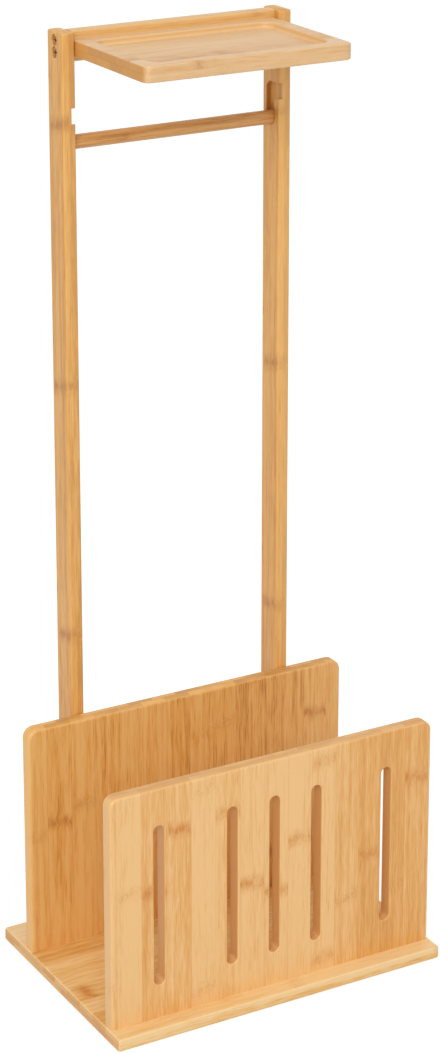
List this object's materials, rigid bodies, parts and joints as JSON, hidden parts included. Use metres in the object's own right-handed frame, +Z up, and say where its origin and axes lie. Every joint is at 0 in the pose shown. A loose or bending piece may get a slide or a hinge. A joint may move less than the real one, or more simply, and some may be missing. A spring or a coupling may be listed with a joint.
{
  "type": "toilet paper stand",
  "caption": "Free-standing bamboo toilet paper stand with a magazine bay at its foot, a lift-out roll bar between tall posts and a small tray on top.",
  "frame": {"origin": "centre of the base board's underside, on the floor", "axes": "+X to the right seen from the front, +Y from the front to the back, +Z up"},
  "size_m": [0.31, 0.214, 0.8],
  "materials": {
    "bamboo_base": "satin clear lacquer on laminated bamboo",
    "bamboo_front_panel": "satin clear lacquer on laminated bamboo",
    "bamboo_rear_panel": "satin clear lacquer on laminated bamboo",
    "bamboo_left_post": "satin clear lacquer on laminated bamboo",
    "bamboo_right_post": "satin clear lacquer on laminated bamboo",
    "bamboo_rail": "satin clear lacquer on laminated bamboo",
    "bamboo_tray": "satin clear lacquer on laminated bamboo",
    "bamboo_bar": "satin clear lacquer on laminated bamboo",
    "screw_steel": "brown-bronze zinc plate",
    "dowel_wood": "bare beech"
  },
  "bodies": {
    "stand": {"base_board": "bamboo_base", "front_panel": "bamboo_front_panel", "rear_panel": "bamboo_rear_panel", "left_post": "bamboo_left_post", "right_post": "bamboo_right_post", "top_rail": "bamboo_rail", "shelf_tray": "bamboo_tray", "front_panel_screws": "screw_steel", "rear_panel_screws": "screw_steel", "left_rail_screws": "screw_steel", "right_rail_screws": "screw_steel", "left_post_back_screws": "screw_steel", "right_post_back_screws": "screw_steel", "left_post_foot_screw": "screw_steel", "right_post_foot_screw": "screw_steel", "tray_screws": "screw_steel", "front_panel_dowels": "dowel_wood", "rear_panel_dowels": "dowel_wood", "tray_dowels": "dowel_wood"},
    "bar": {"roll_bar": "bamboo_bar"}
  },
  "joints": [
    {"name": "bar_lift", "type": "slide", "parent": "stand", "child": "bar", "axis": [0, 0, 1], "range_m": [0, 0.0235]}
  ]
}
